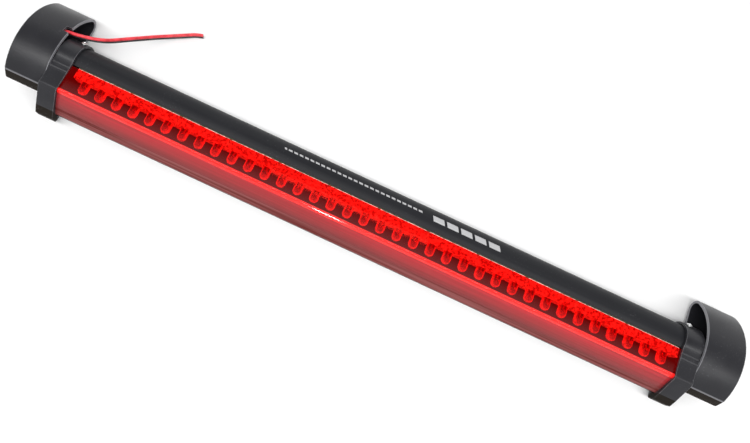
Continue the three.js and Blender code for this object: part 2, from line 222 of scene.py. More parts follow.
# Bracket shells. Half-round hollow mouldings in black ABS with a fine spark-eroded skin, open
# towards the lamp. Each turns on a screw in its hub and is stuck down by its flat back.
RIM_X = 0.1832
HALF_LENGTH = 0.205
SHELL_WALL = 0.0014
SHELL_CENTRE = (0.0021, -0.0077)
SHELL_RADIUS = 0.0317
SHELL_BASE_Z = 0.002
SHELL_FRONT_TOP_Y = -0.01895
SHELL_CHIN = (-0.0217, 0.011)
SHELL_FOOT = (-0.0186, 0.002)
SHELL_END_ROUND = 0.0023
SHELL_CORNER = 0.005
SHELL_FRONT_ROUND = 0.0006
FRONT_EDGE_Y = -0.0189
FRONT_EDGE_REACH = 0.0004
CHIN_FROM_Y = -0.0196
NOTCH = {"from_y": 0.0106, "to_y": 0.0142, "depth": 0.0032, "above_z": 0.016}
AXIS = (0.00105, 0.0114)
HUB_RADIUS, HUB_BORE, HUB_START = 0.0036, 0.0018, 0.1845
HUB_END = HALF_LENGTH - 0.0012


def draw_section(bm, x, steps):
    """Draws a closed section at x. A step is a corner (y, z), or a sweep of the last corner
    about a centre (y, z, degrees, pieces)."""
    known = set(bm.edges)
    first = last = bm.verts.new((x, *steps[0]))
    for step in steps[1:]:
        if len(step) == 2:
            grown = bmesh.ops.extrude_vert_indiv(bm, verts=[last])
            last = grown["verts"][0]
            last.co = (x, *step)
        else:
            centre_y, centre_z, degrees, pieces = step
            swept = bmesh.ops.spin(
                bm, geom=[last], cent=(x, centre_y, centre_z), axis=(1, 0, 0),
                angle=math.radians(degrees), steps=pieces)
            last = next(part for part in swept["geom_last"] if isinstance(part, bmesh.types.BMVert))
    bm.edges.new((last, first))
    return [edge for edge in bm.edges if edge not in known]


def pull(bm, faces, distance):
    """Extrudes faces along X, and gives the faces at the far end."""
    grown = bmesh.ops.extrude_face_region(bm, geom=faces)["geom"]
    moved = [part for part in grown if isinstance(part, bmesh.types.BMVert)]
    bmesh.ops.translate(bm, verts=moved, vec=(distance, 0, 0))
    return [part for part in grown if isinstance(part, bmesh.types.BMFace)]


def round_edges(bm, edges, width, segments):
    bmesh.ops.bevel(bm, geom=edges, offset=width, offset_type="OFFSET", segments=segments,
                    profile=0.5, affect="EDGES", material=-1, clamp_overlap=True)


def make_piece(name, bm, *materials):
    """Finishes a mesh as an object of its own, with faces pointing out and smooth shading."""
    bmesh.ops.recalc_face_normals(bm, faces=bm.faces)
    for face in bm.faces:
        face.smooth = True
    mesh = bpy.data.meshes.new(name)
    bm.to_mesh(mesh)
    bm.free()
    for material in materials:
        mesh.materials.append(material)
    piece = bpy.data.objects.new(name, mesh)
    bpy.context.scene.collection.objects.link(piece)
    return piece


def soften(piece, width, segments=2, angle=35):
    """A live Bevel on every edge sharper than the angle."""
    bevel = piece.modifiers.new("soft_edges", "BEVEL")
    bevel.width = width
    bevel.segments = segments
    bevel.limit_method = "ANGLE"
    bevel.angle_limit = math.radians(angle)
    bevel.harden_normals = True


def make_wear():
    """Where edges are rubbed: the change of the normal within a radius, broken up by noise."""
    group, given, result = new_group(
        "rubbed_edges",
        [("Vector", "NodeSocketVector", None), ("Radius", "NodeSocketFloat", 0.0005),
         ("Break Up", "NodeSocketFloat", 500.0)],
        ["Wear"])
    rounded = group.nodes.new("ShaderNodeBevel")
    rounded.samples = 4
    group.links.new(given.outputs["Radius"], rounded.inputs["Radius"])
    flat = group.nodes.new("ShaderNodeNewGeometry")
    likeness = group.nodes.new("ShaderNodeVectorMath")
    likeness.operation = "DOT_PRODUCT"
    group.links.new(rounded.outputs["Normal"], likeness.inputs[0])
    group.links.new(flat.outputs["Normal"], likeness.inputs[1])
    turned = calculate(group, "SUBTRACT", 1.0, likeness.outputs["Value"])
    broken = noise(group, given.outputs["Vector"], given.outputs["Break Up"], 2)
    stronger = calculate(group, "MULTIPLY", turned, 7.0)
    worn = calculate(group, "MULTIPLY", stronger, broken, clamp=True)
    group.links.new(worn, result.inputs["Wear"])
    return group


def make_dust():
    """Sparse pale specks that gather in patches."""
    group, given, result = new_group(
        "dust_specks",
        [("Vector", "NodeSocketVector", None), ("Speck Scale", "NodeSocketFloat", 1400.0)],
        ["Dust"])
    specks = noise(group, given.outputs["Vector"], given.outputs["Speck Scale"], 1)
    patches = noise(group, given.outputs["Vector"], 45.0, 2)
    sharp = spread(group, specks, 0.66, 0.74, 0, 1)
    where = spread(group, patches, 0.48, 0.62, 0, 1)
    group.links.new(calculate(group, "MULTIPLY", sharp, where), result.inputs["Dust"])
    return group


rubbed_edges = make_wear()
dust_specks = make_dust()


def black_abs(name, colour, roughness, grain_depth, wear_amount):
    """Black ABS: cloudy tone, spark-eroded grain, rubbed edges and a few dust specks."""
    material, tree, shader, place = new_material(name, colour, roughness)
    surface = use_group(tree, moulded_surface, place, Cloud_Scale=45.0, Grain_Scale=2200.0)
    wear = use_group(tree, rubbed_edges, place)["Wear"]
    dust = use_group(tree, dust_specks, place)["Dust"]
    dark = tuple(part * 0.8 for part in colour)
    pale = tuple(part * 1.25 + 0.001 for part in colour)
    cloudy = blend_colour(tree, surface["Clouds"], dark, pale)
    worn = calculate(tree, "MULTIPLY", wear, wear_amount)
    rubbed = blend_colour(tree, worn, cloudy, (0.2, 0.2, 0.215))
    dusted = calculate(tree, "MULTIPLY", dust, 0.18)
    dusty = blend_colour(tree, dusted, rubbed, (0.25, 0.25, 0.26))
    tree.links.new(dusty, shader.inputs["Base Color"])
    tree.links.new(spread(tree, surface["Clouds"], 0.3, 0.7, roughness - 0.05, roughness + 0.06),
                   shader.inputs["Roughness"])
    raise_surface(tree, shader, surface["Grain"], grain_depth, 0.0002)
    return material, tree, shader, place, dusty


shell_plastic, tree, shader, place, finished = black_abs(
    "shell_plastic", (0.018, 0.018, 0.0215), 0.35, 0.2, 0.9)
shader.inputs["Specular IOR Level"].default_value = 0.33
along = tree.nodes.new("ShaderNodeSeparateXYZ")
tree.links.new(place, along.inputs[0])
from_middle = calculate(tree, "ABSOLUTE", along.outputs["X"])
# Paler plastic on the rim faces, partly rubbed rim and partly painted highlight, and along the arc's
# front edge, a painted highlight line.
rim_wear_and_highlight = spread(tree, from_middle, RIM_X + 0.0001, RIM_X + 0.0004, 0.75, 0)
front_edge_highlight = spread(tree, along.outputs["Y"], FRONT_EDGE_Y + FRONT_EDGE_REACH, FRONT_EDGE_Y, 0, 0.6)
edge_highlights_and_wear = calculate(tree, "MAXIMUM", rim_wear_and_highlight, front_edge_highlight)
tree.links.new(blend_colour(tree, edge_highlights_and_wear, finished, (0.26, 0.26, 0.28)), shader.inputs["Base Color"])

# Painted shade: the chins below the fronts of the brackets and collars get a darker, browner, duller
# plastic that stands for their shade.
shaded_chin_plastic, tree, shader, place, finished = black_abs(
    "shaded_chin_plastic", (0.011, 0.008, 0.0055), 0.62, 0.1, 0.5)
shader.inputs["Specular IOR Level"].default_value = 0.12

for word, side in (("left", -1), ("right", 1)):
    bm = bmesh.new()
    corner_rise = SHELL_BASE_Z + SHELL_CORNER - SHELL_CENTRE[1]
    corner_run = math.sqrt((SHELL_RADIUS - SHELL_CORNER) ** 2 - corner_rise ** 2)
    corner_centre = (SHELL_CENTRE[0] + corner_run, SHELL_BASE_Z + SHELL_CORNER)
    base_angle = math.atan2(corner_rise, corner_run)
    corner_sweep = (*corner_centre, 90 + math.degrees(base_angle), 8)
    top_angle = math.acos((SHELL_FRONT_TOP_Y - SHELL_CENTRE[0]) / SHELL_RADIUS)
    arc = (*SHELL_CENTRE, math.degrees(top_angle - base_angle), 44)
    outline = draw_section(bm, side * RIM_X, [
        SHELL_FOOT, (corner_centre[0], SHELL_BASE_Z), corner_sweep, arc, SHELL_CHIN])
    rim_face = bmesh.ops.contextual_create(bm, geom=outline)["faces"]
    pull(bm, rim_face, side * (HALF_LENGTH - RIM_X))
    bmesh.ops.delete(bm, geom=[face for face in bm.faces if face.calc_center_median().x * side
                               < RIM_X + 1e-5], context="FACES_ONLY")
    lengthwise = [edge for edge in bm.edges
                  if abs(edge.verts[0].co.x - edge.verts[1].co.x) > 0.01]
    front_edges = [edge for edge in lengthwise if edge.verts[0].co.y < -0.0185]
    round_edges(bm, front_edges, SHELL_FRONT_ROUND, 3)
    rim_of_end = [edge for edge in bm.edges
                  if all(abs(vert.co.x * side - HALF_LENGTH) < 1e-6 for vert in edge.verts)]
    round_edges(bm, rim_of_end, SHELL_END_ROUND, 6)
    if side < 0:
        for plane_y in (NOTCH["from_y"], NOTCH["to_y"]):
            bmesh.ops.bisect_plane(bm, geom=[*bm.verts, *bm.edges, *bm.faces],
                                   plane_co=(0, plane_y, 0), plane_no=(0, 1, 0))
        bmesh.ops.bisect_plane(bm, geom=[*bm.verts, *bm.edges, *bm.faces],
                               plane_co=(side * (RIM_X + NOTCH["depth"]), 0, 0), plane_no=(1, 0, 0))
        cut_away = []
        for face in bm.faces:
            middle = face.calc_center_median()
            if (middle.z > NOTCH["above_z"] and NOTCH["from_y"] < middle.y < NOTCH["to_y"]
                    and abs(middle.x) < RIM_X + NOTCH["depth"]):
                cut_away.append(face)
        bmesh.ops.delete(bm, geom=cut_away, context="FACES")
    # Faces below CHIN_FROM_Y take the painted-shade chin plastic.
    for face in bm.faces:
        if face.calc_center_median().y < CHIN_FROM_Y:
            face.material_index = 1
    shell = make_piece(f"{word}_bracket", bm, shell_plastic, shaded_chin_plastic)
    wall = shell.modifiers.new("wall", "SOLIDIFY")
    wall.thickness = SHELL_WALL
    wall.offset = -1
    wall.use_even_offset = True
    soften(shell, 0.00025, 2, 40)
    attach(shell, f"{word}_bracket")
    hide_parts(f"{word}_bracket_shell")

    bm = bmesh.new()
    wall_profile = [(HUB_START, HUB_RADIUS), (HUB_END, HUB_RADIUS),
                    (HUB_END, HUB_BORE), (HUB_START, HUB_BORE)]
    corners = [bm.verts.new((side * x, AXIS[0], AXIS[1] + r)) for x, r in wall_profile]
    loop = [bm.edges.new((corners[i], corners[(i + 1) % 4])) for i in range(4)]
    bmesh.ops.spin(bm, geom=[*corners, *loop], cent=(0, *AXIS), axis=(1, 0, 0),
                   angle=math.tau, steps=40, use_merge=True)
    hub = make_piece(f"{word}_bracket_hub", bm, shell_plastic)
    soften(hub, 0.0002, 2, 40)
    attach(hub, f"{word}_bracket")


# Pads. Closed-cell foam with adhesive on both faces, die-cut a little smaller than the flat
# back of the bracket that each is stuck to.
PAD_X = (0.1848, 0.2024)
PAD_Y = (-0.017, 0.026)
PAD_Z = (0, 0.00175)
PAD_CORNER = 0.0015

foam, tree, shader, place = new_material("closed_cell_foam", (0.012, 0.011, 0.01), 0.9)
cells = tree.nodes.new("ShaderNodeTexVoronoi")
cells.inputs["Scale"].default_value = 2600
tree.links.new(place, cells.inputs["Vector"])
surface = use_group(tree, moulded_surface, place, Cloud_Scale=120.0, Grain_Scale=3000.0)
tone = calculate(tree, "MULTIPLY", surface["Clouds"], cells.outputs["Distance"])
tree.links.new(blend_colour(tree, tone, (0.008, 0.0075, 0.007), (0.05, 0.046, 0.042)),
               shader.inputs["Base Color"])
tree.links.new(spread(tree, surface["Clouds"], 0.3, 0.7, 0.82, 0.98), shader.inputs["Roughness"])
raise_surface(tree, shader, cells.outputs["Distance"], 0.4, 0.0002)

for word, side in (("left", -1), ("right", 1)):
    bm = bmesh.new()
    bmesh.ops.create_cube(bm, size=1)
    size = (PAD_X[1] - PAD_X[0], PAD_Y[1] - PAD_Y[0], PAD_Z[1] - PAD_Z[0])
    bmesh.ops.scale(bm, vec=size, verts=bm.verts)
    middle = (side * sum(PAD_X) / 2, sum(PAD_Y) / 2, sum(PAD_Z) / 2)
    bmesh.ops.translate(bm, vec=middle, verts=bm.verts)
    upright = [edge for edge in bm.edges if abs(edge.verts[0].co.z - edge.verts[1].co.z) > 0.001]
    round_edges(bm, upright, PAD_CORNER, 4)
    pad = make_piece(f"{word}_foam_pad", bm, foam)
    soften(pad, 0.00015, 1)
    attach(pad, f"{word}_bracket")
    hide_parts(f"{word}_pad")


# End caps. Black ABS collars that close the ends of the tube, moulded with a flat front, two
# low ridges where the round back meets it, and a sloping face and a steep chin below.
CAP_INNER_X, CAP_FACE_X, CAP_OUTER_X = 0.1731, 0.1809, 0.1829
CAP_CHIN_FROM_Y = -0.0288
CAP_SECTION = [
    (-0.0304, 0.0034), (-0.00012, 0.00026), (*AXIS, 207, 40),
    (-0.0058, 0.02178), (-0.0062, 0.0215), (-0.0067, 0.0215), (-0.0071, 0.02165),
    (-0.0084, 0.02162), (-0.0088, 0.0214), (-0.0093, 0.0214), (-0.0097, 0.02155),
    (-0.0176, 0.0213), (-0.01875, 0.0216), (-0.02, 0.0209), (-0.0283, 0.012), (-0.03135, 0.0082),
    (-0.0311, 0.0042),
]
CAVITY_SECTION = [
    (-0.02805, 0.005), (-0.00016, 0.00155), (*AXIS, 213, 40),
    (-0.01725, 0.02035), (-0.01825, 0.02065), (-0.0193, 0.0199), (-0.02, 0.0187),
    (-0.02585, 0.01215), (-0.0283, 0.0083),
]

cap_plastic, tree, shader, place, finished = black_abs(
    "cap_plastic", (0.018, 0.018, 0.0215), 0.36, 0.1, 1.3)
shader.inputs["Specular IOR Level"].default_value = 0.4

for word, side in (("left", -1), ("right", 1)):
    bm = bmesh.new()
    outer = draw_section(bm, side * CAP_INNER_X, CAP_SECTION)
    inner = draw_section(bm, side * CAP_INNER_X, CAVITY_SECTION)
    rim = bmesh.ops.triangle_fill(bm, use_beauty=True, use_dissolve=False, edges=[*outer, *inner])
    ring = [part for part in rim["geom"] if isinstance(part, bmesh.types.BMFace)]
    pulled = pull(bm, ring, side * (CAP_FACE_X - CAP_INNER_X))
    bmesh.ops.delete(bm, geom=pulled, context="FACES_ONLY")
    open_edges = [edge for edge in bm.edges if edge.is_boundary]
    start = min(open_edges, key=lambda edge: min(vert.co.y for vert in edge.verts))
    outer_loop, waiting = set(), [start]
    while waiting:
        edge = waiting.pop()
        if edge in outer_loop:
            continue
        outer_loop.add(edge)
        waiting += [near for vert in edge.verts for near in vert.link_edges if near.is_boundary]
    inner_loop = [edge for edge in open_edges if edge not in outer_loop]
    bmesh.ops.contextual_create(bm, geom=inner_loop)
    outer_face = bmesh.ops.contextual_create(bm, geom=list(outer_loop))["faces"]
    pull(bm, outer_face, side * (CAP_OUTER_X - CAP_FACE_X))
    inside = [face for face in bm.faces
              if abs(face.calc_center_median().x * side - CAP_FACE_X) < 1e-6
              and len(face.verts) == len(outer_loop)]
    bmesh.ops.delete(bm, geom=inside, context="FACES_ONLY")
    # Faces below CAP_CHIN_FROM_Y take the painted-shade chin plastic.
    for face in bm.faces:
        if face.calc_center_median().y < CAP_CHIN_FROM_Y:
            face.material_index = 1
    cap = make_piece(f"{word}_collar", bm, cap_plastic, shaded_chin_plastic)
    soften(cap, 0.0003, 2, 20)
    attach(cap, "lamp")
    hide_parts(f"{word}_end_cap")


# End seals. Soft black foam gaskets pressed between the tube's ends and the end caps.
for word in ("left", "right"):
    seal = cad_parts[f"{word}_end_seal"]
    seal.material_slots[0].material = foam


# Cap screws. Small zinc-plated pan heads with a round socket, one on the back of each collar,
# that pin it to the tube.
SCREW_X = 0.1756
SCREW_ANGLE = 35
SCREW_PROFILE = [(0, 0.0078), (0.00085, 0.0078), (0.00085, 0.0115), (0.0015, 0.0115),
                 (0.0015, 0.0119), (0.0013, 0.01215), (0.0009, 0.01232), (0.0007, 0.01232),
                 (0.0006, 0.0119), (0, 0.0119)]

zinc, tree, shader, place = new_material("zinc_plate", (0.62, 0.63, 0.65), 0.28)
shader.inputs["Metallic"].default_value = 1
surface = use_group(tree, moulded_surface, place, Cloud_Scale=900.0, Grain_Scale=6000.0)
wear = use_group(tree, rubbed_edges, place, Radius=0.0002, Break_Up=1500.0)["Wear"]
plated = blend_colour(tree, surface["Clouds"], (0.5, 0.51, 0.53), (0.7, 0.7, 0.68))
tree.links.new(blend_colour(tree, wear, plated, (0.85, 0.85, 0.86)), shader.inputs["Base Color"])
tree.links.new(spread(tree, surface["Clouds"], 0.3, 0.7, 0.2, 0.42), shader.inputs["Roughness"])
raise_surface(tree, shader, surface["Grain"], 0.1, 0.00005)


def turn_profile(bm, profile, steps):
    """Spins a profile of (radius, height) about Z into a closed solid."""
    spots = [bm.verts.new((radius, 0, height)) for radius, height in profile]
    chain = [bm.edges.new(pair) for pair in zip(spots, spots[1:])]
    bmesh.ops.spin(bm, geom=[*spots, *chain], cent=(0, 0, 0), axis=(0, 0, 1),
                   angle=math.tau, steps=steps, use_merge=True)
    bmesh.ops.remove_doubles(bm, verts=bm.verts, dist=1e-6)


for word, side in (("left", -1), ("right", 1)):
    bm = bmesh.new()
    turn_profile(bm, SCREW_PROFILE, 24)
    tip = Matrix.Rotation(math.radians(SCREW_ANGLE - 90), 4, "X")
    put_in_place = Matrix.Translation((side * SCREW_X, *AXIS)) @ tip
    bmesh.ops.transform(bm, matrix=put_in_place, verts=bm.verts)
    screw = make_piece(f"{word}_collar_screw", bm, zinc)
    soften(screw, 0.00006, 2)
    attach(screw, "lamp")
    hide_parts(f"{word}_cap_screw")


# Pivot screws and washers. A plated steel screw runs from inside each end cap into the
# bracket's hub, with a nylon washer between the two that gives the tilt its friction.
nylon, tree, shader, place = new_material("natural_nylon", (0.6, 0.58, 0.52), 0.5)
surface = use_group(tree, moulded_surface, place, Cloud_Scale=300.0, Grain_Scale=2500.0)
tree.links.new(blend_colour(tree, surface["Clouds"], (0.5, 0.48, 0.42), (0.68, 0.66, 0.6)),
               shader.inputs["Base Color"])
tree.links.new(spread(tree, surface["Clouds"], 0.3, 0.7, 0.42, 0.6), shader.inputs["Roughness"])
raise_surface(tree, shader, surface["Grain"], 0.15, 0.0001)

for word in ("left", "right"):
    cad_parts[f"{word}_pivot_screw"].material_slots[0].material = zinc
    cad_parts[f"{word}_pivot_washer"].material_slots[0].material = nylon


# Housing. An extruded black ABS channel: a round tube at the back, cut open for the window,
# with a thin floor that runs forward under the lens and ends in a hooked lip.
HOUSING_END_X = 0.1786
HOUSING_SECTION = [
    (-0.0277, 0.0054), (-0.00012, 0.001872), (*AXIS, 213, 64),
    (-0.0025, 0.01868), (*AXIS, -213, 56),
    (-0.0251, 0.0066), (-0.0251, 0.0084), (-0.0261, 0.0084), (-0.0261, 0.0069), (-0.0277, 0.0069),
]

# Each row of painted dashes: where it lies round the tube and half its width, in degrees, its
# two ends along the tube, the step from dash to dash, and how much of a step is painted.
PRINTED_DASHES = [
    (70.5, 3.2, -0.0612, 0.0186, 0.0031, 0.68),
    (74, 9.5, 0.0224, 0.0622, 0.00795, 0.8),
]
DASH_SLANT = 0.004


def make_streaks():
    """Long faint lines left along an extruded or moulded bar."""
    group, given, result = new_group(
        "drawn_lines",
        [("Vector", "NodeSocketVector", None), ("Line Scale", "NodeSocketFloat", 900.0)],
        ["Lines"])
    flatten = group.nodes.new("ShaderNodeVectorMath")
    flatten.operation = "MULTIPLY"
    flatten.inputs[1].default_value = (0.012, 1, 1)
    group.links.new(given.outputs["Vector"], flatten.inputs[0])
    lines = noise(group, flatten.outputs["Vector"], given.outputs["Line Scale"], 2, 0.55)
    group.links.new(lines, result.inputs["Lines"])
    return group


drawn_lines = make_streaks()

tube_plastic, tree, shader, place = new_material("tube_plastic", (0.012, 0.0125, 0.015), 0.5)
shader.inputs["Specular IOR Level"].default_value = 0.18
surface = use_group(tree, moulded_surface, place, Cloud_Scale=30.0, Grain_Scale=2800.0)
lines = use_group(tree, drawn_lines, place, Line_Scale=700.0)["Lines"]
wear = use_group(tree, rubbed_edges, place)["Wear"]
dust = use_group(tree, dust_specks, place)["Dust"]
toned = blend_colour(tree, surface["Clouds"], (0.011, 0.0115, 0.014), (0.016, 0.0165, 0.0195))
lined = blend_colour(tree, spread(tree, lines, 0.35, 0.7, 0, 0.5), toned, (0.02, 0.0205, 0.023))
rubbed = blend_colour(tree, calculate(tree, "MULTIPLY", wear, 0.5), lined, (0.16, 0.16, 0.17))
dusty = blend_colour(tree, calculate(tree, "MULTIPLY", dust, 0.1), rubbed, (0.25, 0.25, 0.26))
across = tree.nodes.new("ShaderNodeSeparateXYZ")
tree.links.new(place, across.inputs[0])
over_axis = calculate(tree, "SUBTRACT", across.outputs["Z"], AXIS[1])
behind_axis = calculate(tree, "SUBTRACT", across.outputs["Y"], AXIS[0])
around_tube = calculate(tree, "ARCTAN2", over_axis, behind_axis)
slant = calculate(tree, "MULTIPLY", around_tube, DASH_SLANT)
slanted = calculate(tree, "SUBTRACT", across.outputs["X"], slant)
printed = None
for middle_angle, half_width, from_x, to_x, step, painted in PRINTED_DASHES:
    from_line = calculate(tree, "SUBTRACT", around_tube, math.radians(middle_angle))
    on_line = calculate(tree, "LESS_THAN", calculate(tree, "ABSOLUTE", from_line),
                        math.radians(half_width))
    from_row_middle = calculate(tree, "SUBTRACT", slanted, (from_x + to_x) / 2)
    in_row = calculate(tree, "LESS_THAN", calculate(tree, "ABSOLUTE", from_row_middle),
                       (to_x - from_x) / 2)
    in_step = calculate(tree, "FRACT", calculate(tree, "DIVIDE", slanted, step))
    in_dash = calculate(tree, "LESS_THAN", in_step, painted)
    dash = calculate(tree, "MULTIPLY", in_dash, calculate(tree, "MULTIPLY", on_line, in_row))
    printed = dash if printed is None else calculate(tree, "MAXIMUM", printed, dash)
inked = calculate(tree, "MULTIPLY", printed, spread(tree, lines, 0.2, 0.6, 0.95, 0.75))
tree.links.new(blend_colour(tree, inked, dusty, (0.6, 0.6, 0.61)), shader.inputs["Base Color"])
tree.links.new(spread(tree, lines, 0.3, 0.7, 0.44, 0.56), shader.inputs["Roughness"])
raise_surface(tree, shader, surface["Grain"], 0.06, 0.0001)

bm = bmesh.new()
outline = draw_section(bm, -HOUSING_END_X, HOUSING_SECTION)
pull(bm, bmesh.ops.contextual_create(bm, geom=outline)["faces"], 2 * HOUSING_END_X)
housing = make_piece("tube_housing", bm, tube_plastic)
soften(housing, 0.0002, 2, 25)
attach(housing, "lamp")
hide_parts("housing")


# LED board. A long green laminate strip that stands in the tube and carries the LEDs.
laminate, tree, shader, place = new_material("board_laminate", (0.02, 0.075, 0.025), 0.45)
surface = use_group(tree, moulded_surface, place, Cloud_Scale=200.0, Grain_Scale=1800.0)
cloth = tree.nodes.new("ShaderNodeTexChecker")
cloth.inputs["Scale"].default_value = 1500
tree.links.new(place, cloth.inputs["Vector"])
threads = calculate(tree, "MULTIPLY", cloth.outputs["Fac"], 0.35)
woven = blend_colour(tree, threads, (0.018, 0.07, 0.022), (0.03, 0.1, 0.035))
faint_clouds = calculate(tree, "MULTIPLY", surface["Clouds"], 0.4)
tree.links.new(blend_colour(tree, faint_clouds, woven, (0.06, 0.12, 0.05)),
               shader.inputs["Base Color"])
tree.links.new(spread(tree, surface["Clouds"], 0.3, 0.7, 0.38, 0.55), shader.inputs["Roughness"])
raise_surface(tree, shader, surface["Grain"], 0.2, 0.0001)
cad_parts["led_board"].material_slots[0].material = laminate


# LED holder. A white moulded bar with a pocket for each LED, notched after every third. Its red glow
# is painted light: an emission that stands for the light the lens lets in.
holder_white, tree, shader, place = new_material("holder_plastic", (0.8, 0.76, 0.7), 0.45)
surface = use_group(tree, moulded_surface, place, Cloud_Scale=800.0, Grain_Scale=1500.0)
stained = blend_colour(tree, spread(tree, surface["Clouds"], 0.38, 0.62, 0, 1), (0.55, 0.42, 0.36),
                       (0.9, 0.87, 0.82))
tree.links.new(stained, shader.inputs["Base Color"])
# Painted light: a mottled red emission for the light coming in through the lens.
glow = blend_colour(tree, spread(tree, surface["Clouds"], 0.38, 0.62, 0, 1), (0.14, 0.0, 0.0),
                    (1.0, 0.5, 0.45))
tree.links.new(glow, shader.inputs["Emission Color"])
shader.inputs["Emission Strength"].default_value = 0.7
tree.links.new(spread(tree, surface["Clouds"], 0.3, 0.7, 0.3, 0.6), shader.inputs["Roughness"])
raise_surface(tree, shader, surface["Clouds"], 0.6, 0.0006)
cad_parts["led_holder"].material_slots[0].material = holder_white


# LEDs. 36 round 5 mm ones in red epoxy, in twelve groups of three, lying with their domes towards the
# front of the lens. A steel post and an anvil sit dark inside each, and the epoxy carries painted
# light and shade.
LED_COUNT = 36
LED_PITCH = 0.00945
LED_ROW_MIDDLE = 0.0014
LED_BASE_Y, LED_Z = -0.00655, 0.0149
LED_PROFILE = [(0, 0), (0.00275, 0), (0.00275, 0.001), (0.0025, 0.001), (0.0025, 0.0062)]
LED_DOME = 0.0025
LEADFRAME = [
    ((-0.0009, 0.0026), (0.0011, 0.0032, 0.0006)),
    ((0.0008, 0.0022), (0.0007, 0.0026, 0.0005)),
    ((-0.0005, 0.0046), (0.0018, 0.0012, 0.0007)),
]
LEADFRAME_RISE = 0.0004

epoxy, tree, shader, place = new_material("red_epoxy", (0.9, 0.03, 0.02), 0.12)
shader.inputs["Transmission Weight"].default_value = 0.6
shader.inputs["IOR"].default_value = 1.5
surface = use_group(tree, moulded_surface, place, Cloud_Scale=900.0, Grain_Scale=2500.0)
# Painted light and shade: the top of each dome is painted dark for the leadframe seen through it, its
# lower sides bright red for light caught in the epoxy, and the emission is a painted glow for light
# coming in through the lens.
height = tree.nodes.new("ShaderNodeSeparateXYZ")
tree.links.new(place, height.inputs[0])
ragged = calculate(tree, "ADD", height.outputs["Z"],
                   calculate(tree, "MULTIPLY", surface["Clouds"], 0.0012))
shade = spread(tree, ragged, LED_Z + 0.0021, LED_Z + 0.0028, 0, 1)
tree.links.new(blend_colour(tree, shade, (0.98, 0.04, 0.03), (0.35, 0.01, 0.01)),
               shader.inputs["Base Color"])
tree.links.new(spread(tree, surface["Clouds"], 0.3, 0.7, 0.08, 0.2), shader.inputs["Roughness"])
painted_led_glow = blend_colour(tree, spread(tree, surface["Clouds"], 0.42, 0.6, 0, 1), (0.22, 0.0, 0.0),
                      (0.9, 0.35, 0.3))
tree.links.new(blend_colour(tree, shade, painted_led_glow, (0.03, 0.0, 0.0)), shader.inputs["Emission Color"])
shader.inputs["Emission Strength"].default_value = 0.7
raise_surface(tree, shader, surface["Clouds"], 0.1, 0.0002)

leadframe_steel, tree, shader, place = new_material("leadframe_steel", (0.05, 0.045, 0.045), 0.5)
shader.inputs["Metallic"].default_value = 0.6
surface = use_group(tree, moulded_surface, place, Cloud_Scale=1200.0, Grain_Scale=5000.0)
tree.links.new(blend_colour(tree, surface["Clouds"], (0.02, 0.016, 0.016), (0.09, 0.08, 0.08)),
               shader.inputs["Base Color"])
tree.links.new(spread(tree, surface["Clouds"], 0.3, 0.7, 0.4, 0.6), shader.inputs["Roughness"])

led_profile = list(LED_PROFILE)
dome_base = LED_PROFILE[-1][1]
for step in range(1, 7):
    angle = step * math.pi / 12
    led_profile.append((LED_DOME * math.cos(angle), dome_base + LED_DOME * math.sin(angle)))
for number in range(1, LED_COUNT + 1):
    led_x = LED_ROW_MIDDLE + (number - (LED_COUNT + 1) / 2) * LED_PITCH
    bm = bmesh.new()
    turn_profile(bm, led_profile, 20)
    lie_down = Matrix.Rotation(math.pi / 2, 4, "X")
    bmesh.ops.transform(bm, matrix=Matrix.Translation((led_x, LED_BASE_Y, LED_Z)) @ lie_down,
                        verts=bm.verts)
    led = make_piece(f"diode_{number:02d}", bm, epoxy)
    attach(led, "lamp")
    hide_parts(f"led_{number:02d}")

bm = bmesh.new()
for number in range(1, LED_COUNT + 1):
    led_x = LED_ROW_MIDDLE + (number - (LED_COUNT + 1) / 2) * LED_PITCH
    for (across, along), size in LEADFRAME:
        metal_part = bmesh.ops.create_cube(bm, size=1)["verts"]
        bmesh.ops.scale(bm, vec=size, verts=metal_part)
        middle = (led_x + across, LED_BASE_Y - along, LED_Z + LEADFRAME_RISE)
        bmesh.ops.translate(bm, vec=middle, verts=metal_part)
leadframes = make_piece("leadframes", bm, leadframe_steel)
soften(leadframes, 0.00008, 1)
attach(leadframes, "lamp")


# Lens. One clear red acrylic moulding: a flat window, a raised ridge along its edge, a ribbed
# sloping face and a lip that snaps over the housing. Its ends are held by the collars.
LENS_SECTION = [
    (-0.0038, 0.0197), (-0.01735, 0.02), (-0.0182, 0.0203), (-0.019, 0.0197), (-0.0197, 0.0185),
    (-0.02555, 0.012), (-0.02795, 0.0082), (-0.02785, 0.0072),
    (-0.02645, 0.0072), (-0.02645, 0.0085), (-0.0243, 0.0125), (-0.0184, 0.0182),
    (-0.0174, 0.0186), (-0.0035, 0.01835),
]
WINDOW_FROM_Y, SLOPE_TOP_Y, SLOPE_FOOT_Y, FRONT_FROM_Y = -0.01736, -0.0197, -0.0256, -0.0255


def red_acrylic(name, colour, transmission, roughness, line_depth, line_tone):
    """Red acrylic with lengthwise lines. Gives the sockets that its own details go on from."""
    material, tree, shader, place = new_material(name, colour, roughness)
    shader.inputs["Transmission Weight"].default_value = transmission
    shader.inputs["IOR"].default_value = 1.49
    surface = use_group(tree, moulded_surface, place, Cloud_Scale=22.0, Grain_Scale=1600.0)
    lines = use_group(tree, drawn_lines, place, Line_Scale=900.0)["Lines"]
    dark = tuple(part * (1 - line_tone) for part in colour)
    pale = tuple(min(1, part + 0.15 * line_tone) for part in colour)
    lined = blend_colour(tree, spread(tree, lines, 0.35, 0.65, 0, 1), dark, pale)
    tree.links.new(lined, shader.inputs["Base Color"])
    tree.links.new(spread(tree, surface["Clouds"], 0.3, 0.7, roughness * 0.9, roughness * 1.2),
                   shader.inputs["Roughness"])
    raise_surface(tree, shader, lines, line_depth, 0.0001)
    return material, tree, shader, place, lines


